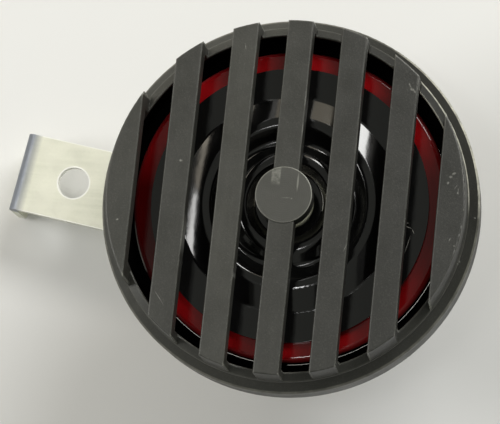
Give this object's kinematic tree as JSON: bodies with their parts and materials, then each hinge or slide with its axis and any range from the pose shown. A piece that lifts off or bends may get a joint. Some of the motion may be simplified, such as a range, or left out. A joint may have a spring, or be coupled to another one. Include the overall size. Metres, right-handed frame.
{
  "type": "car disc horn",
  "caption": "Round electric disc horn with a slatted front grille, a red clamp ring, a black tone disc and a flat mounting strap.",
  "frame": {"origin": "centre of the mounting strap's fixing hole, on the back face of the strap", "axes": "+Z along the fixing hole and the horn axis, towards the grille; +Y along the grille's bars; +X from the strap's hole towards the horn"},
  "size_m": [0.1372, 0.1, 0.0763],
  "materials": {
    "black_moulding": "satin, fine grain",
    "red_lacquer": "glossy",
    "gloss_black_steel": "high gloss",
    "bright_zinc": "bright plated",
    "satin_zinc": "satin plated",
    "plain_steel": "machined",
    "soft_iron": "machined",
    "spring_steel": "smooth",
    "gasket_paper": "dull",
    "black_lacquer": "semi gloss",
    "bobbin_plastic": "satin",
    "copper_wire": "enamelled",
    "pressed_board": "dull",
    "tungsten_points": "ground",
    "brass_parts": "plain",
    "terminal_plastic": "satin"
  },
  "bodies": {
    "root": {"front_grille": "black_moulding", "clamp_ring": "red_lacquer", "tone_disc": "gloss_black_steel", "cup_washer": "bright_zinc", "spindle_nut": "bright_zinc", "spindle": "plain_steel", "spindle_spacer": "plain_steel", "armature": "soft_iron", "diaphragm": "spring_steel", "lower_gasket": "gasket_paper", "upper_gasket": "gasket_paper", "housing": "black_lacquer", "pole_core": "soft_iron", "coil_bobbin": "bobbin_plastic", "coil_winding": "copper_wire", "coil_retainer": "spring_steel", "contact_block": "pressed_board", "middle_insulator": "pressed_board", "top_insulator": "pressed_board", "fixed_contact_arm": "plain_steel", "moving_contact_spring": "spring_steel", "contact_points": "tungsten_points", "contact_rivets": "brass_parts", "adjuster_bush": "brass_parts", "adjusting_screw": "bright_zinc", "terminal_block": "terminal_plastic", "terminal_insulator": "pressed_board", "left_terminal_blade": "brass_parts", "right_terminal_blade": "brass_parts", "terminal_rivets": "brass_parts", "mounting_bracket": "satin_zinc", "spring_washer": "bright_zinc", "mounting_nut": "bright_zinc"}
  },
  "joints": []
}
